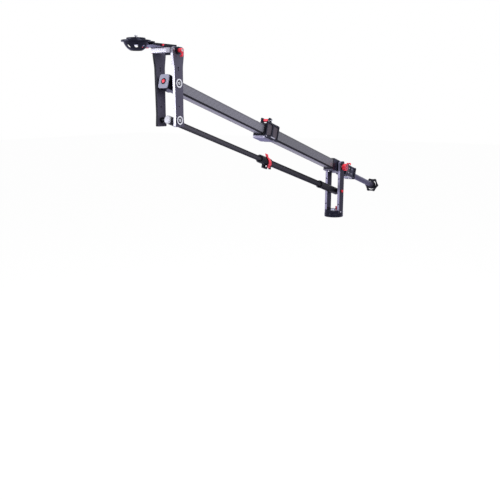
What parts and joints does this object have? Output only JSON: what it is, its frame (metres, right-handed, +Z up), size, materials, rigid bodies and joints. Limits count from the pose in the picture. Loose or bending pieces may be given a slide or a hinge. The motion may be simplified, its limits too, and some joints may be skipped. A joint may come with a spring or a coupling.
{
  "type": "camera jib crane",
  "caption": "Telescoping parallelogram camera jib on a pan yoke, with a self-levelling tilting camera head and a counterweight bar.",
  "frame": {"origin": "centre of the flat seat under the base drum, where the tripod's platform touches it", "axes": "+X runs forward in plan to the camera head, +Y is the crane's left, +Z is up; the arms are drawn fully extended and raised by 16.9 degrees"},
  "size_m": [1.9141, 0.1322, 0.7698],
  "materials": {
    "carbon": "clear-coated carbon fibre tube, satin",
    "black_metal": "black anodised, satin",
    "grey_metal": "dark grey anodised, satin",
    "red_metal": "red anodised",
    "steel": "bright stainless",
    "black_plastic": "moulded, matt",
    "pale_plastic": "moulded, pale grey"
  },
  "bodies": {
    "base": {"base_drum": "black_metal", "pan_bearing_ring": "pale_plastic", "pan_retainer": "steel"},
    "pan": {"turntable": "black_metal", "yoke_plate_left": "grey_metal", "yoke_plate_right": "grey_metal", "foot_screw_left_rear": "steel", "foot_screw_left_front": "steel", "foot_screw_right_rear": "steel", "foot_screw_right_front": "steel", "tilt_axle": "steel", "tilt_knob_washer": "steel", "lower_axle": "red_metal"},
    "pan_lock": {"pan_lock_knob": "red_metal"},
    "tilt_lock": {"tilt_lock_knob": "red_metal"},
    "boom": {"arm_joint_block": "black_metal", "joint_block_plate": "grey_metal", "joint_plate_screw": "steel", "arm_tube_rear": "carbon", "mid_clamp_shell_left": "black_metal", "mid_clamp_shell_right": "black_metal", "mid_clamp_base_plate": "grey_metal", "mid_clamp_gasket": "black_plastic", "rear_clamp_side_left": "black_metal", "rear_clamp_side_right": "black_metal", "rear_clamp_collar": "black_metal", "rear_clamp_end_frame": "black_metal", "rear_clamp_base_plate": "grey_metal", "rear_plate_screw": "steel"},
    "boom_extension": {"arm_tube_front": "carbon", "arm_front_block": "black_metal", "arm_front_cap": "pale_plastic", "arm_front_button": "red_metal"},
    "mid_lever": {"mid_clamp_lever": "red_metal"},
    "rear_lever": {"rear_clamp_lever": "red_metal"},
    "counterweight_bar": {"weight_bar": "grey_metal"},
    "bar_wheel": {"bar_hand_wheel": "black_plastic"},
    "lower_arm": {"lower_coupling": "black_plastic", "lower_tube_rear": "carbon", "lower_clamp_collar": "black_plastic", "lower_clamp_pin": "steel"},
    "lower_lever": {"lower_clamp_lever": "red_metal"},
    "lower_extension": {"lower_tube_front": "carbon", "lower_front_fitting": "black_plastic"},
    "head": {"head_plate_left": "grey_metal", "head_plate_right": "grey_metal", "head_upper_axle": "pale_plastic", "head_lower_axle": "pale_plastic"},
    "platform": {"platform_hinge_block": "grey_metal", "camera_platform": "black_metal", "tilt_bolt": "steel", "latch_block": "black_metal", "latch_screw_rear": "steel", "latch_screw_front": "steel", "camera_bowl": "black_metal"},
    "tilt_lever_l": {"tilt_lever_left": "red_metal"},
    "tilt_lever_r": {"tilt_lever_right": "red_metal"},
    "latch": {"latch_lever": "red_metal"},
    "ball": {"levelling_ball": "black_metal"},
    "screw": {"camera_screw": "steel"}
  },
  "joints": [
    {"name": "pan_turn", "type": "hinge", "parent": "base", "child": "pan", "pos_m": [0, 0, 0.02], "axis": [0, 0, 1], "continuous": true},
    {"name": "pan_lock_turn", "type": "hinge", "parent": "pan", "child": "pan_lock", "pos_m": [-0.029, 0, 0.04], "axis": [0, 0, 1], "range_deg": [0, 270]},
    {"name": "tilt_lock_turn", "type": "hinge", "parent": "pan", "child": "tilt_lock", "pos_m": [0, 0.054, 0.25], "axis": [0, 1, 0], "range_deg": [0, 270]},
    {"name": "boom_tilt", "type": "hinge", "parent": "pan", "child": "boom", "pos_m": [0, 0, 0.25], "axis": [0, -1, 0], "range_deg": [-60, 30]},
    {"name": "lower_arm_tilt", "type": "hinge", "parent": "pan", "child": "lower_arm", "pos_m": [0, 0, 0.13], "axis": [0, -1, 0], "range_deg": [-60, 30]},
    {"name": "boom_telescope", "type": "slide", "parent": "boom", "child": "boom_extension", "axis": [0.9568, 0, 0.2907], "range_m": [-0.45, 0]},
    {"name": "lower_telescope", "type": "slide", "parent": "lower_arm", "child": "lower_extension", "axis": [0.9568, 0, 0.2907], "range_m": [-0.45, 0]},
    {"name": "head_level", "type": "hinge", "parent": "boom_extension", "child": "head", "pos_m": [1.23812, 0, 0.62617], "axis": [0, -1, 0], "range_deg": [-30, 60]},
    {"name": "mid_lever_turn", "type": "hinge", "parent": "boom", "child": "mid_lever", "pos_m": [0.63535, 0, 0.49111], "axis": [0, 1, 0], "range_deg": [0, 110]},
    {"name": "rear_lever_turn", "type": "hinge", "parent": "boom", "child": "rear_lever", "pos_m": [-0.14261, 0, 0.24743], "axis": [-0.2907, 0, 0.9568], "range_deg": [0, 110]},
    {"name": "bar_slide", "type": "slide", "parent": "boom", "child": "counterweight_bar", "axis": [-0.9568, 0, -0.2907], "range_m": [-0.003, 0.03]},
    {"name": "bar_wheel_turn", "type": "hinge", "parent": "counterweight_bar", "child": "bar_wheel", "pos_m": [-0.45736, 0, 0.11104], "axis": [0.9568, 0, 0.2907], "range_deg": [-270, 270]},
    {"name": "lower_lever_flip", "type": "hinge", "parent": "lower_arm", "child": "lower_lever", "pos_m": [0.63377, 0.009, 0.30061], "axis": [-0.9568, 0, -0.2907], "range_deg": [0, 75]},
    {"name": "camera_tilt", "type": "hinge", "parent": "head", "child": "platform", "pos_m": [1.24012, 0, 0.73017], "axis": [0, -1, 0], "range_deg": [-45, 60]},
    {"name": "tilt_lever_left_turn", "type": "hinge", "parent": "platform", "child": "tilt_lever_l", "pos_m": [1.24012, 0.058, 0.73017], "axis": [0, 1, 0], "range_deg": [0, 110]},
    {"name": "tilt_lever_right_turn", "type": "hinge", "parent": "platform", "child": "tilt_lever_r", "pos_m": [1.24012, -0.058, 0.73017], "axis": [0, -1, 0], "range_deg": [0, 110]},
    {"name": "latch_turn", "type": "hinge", "parent": "platform", "child": "latch", "pos_m": [1.30212, -0.044, 0.74377], "axis": [0, -1, 0], "range_deg": [0, 110]},
    {"name": "ball_level", "type": "hinge", "parent": "platform", "child": "ball", "pos_m": [1.38512, 0, 0.75877], "axis": [1, 0, 0], "range_deg": [-8, 8]},
    {"name": "camera_screw_turn", "type": "hinge", "parent": "ball", "child": "screw", "pos_m": [1.38512, 0, 0.75377], "axis": [0, 0, 1], "range_deg": [-360, 360]}
  ],
  "couplings": [
    {"joint": "lower_arm_tilt", "follows": "boom_tilt", "ratio": 1},
    {"joint": "head_level", "follows": "boom_tilt", "ratio": -1},
    {"joint": "lower_telescope", "follows": "boom_telescope", "ratio": 1}
  ]
}
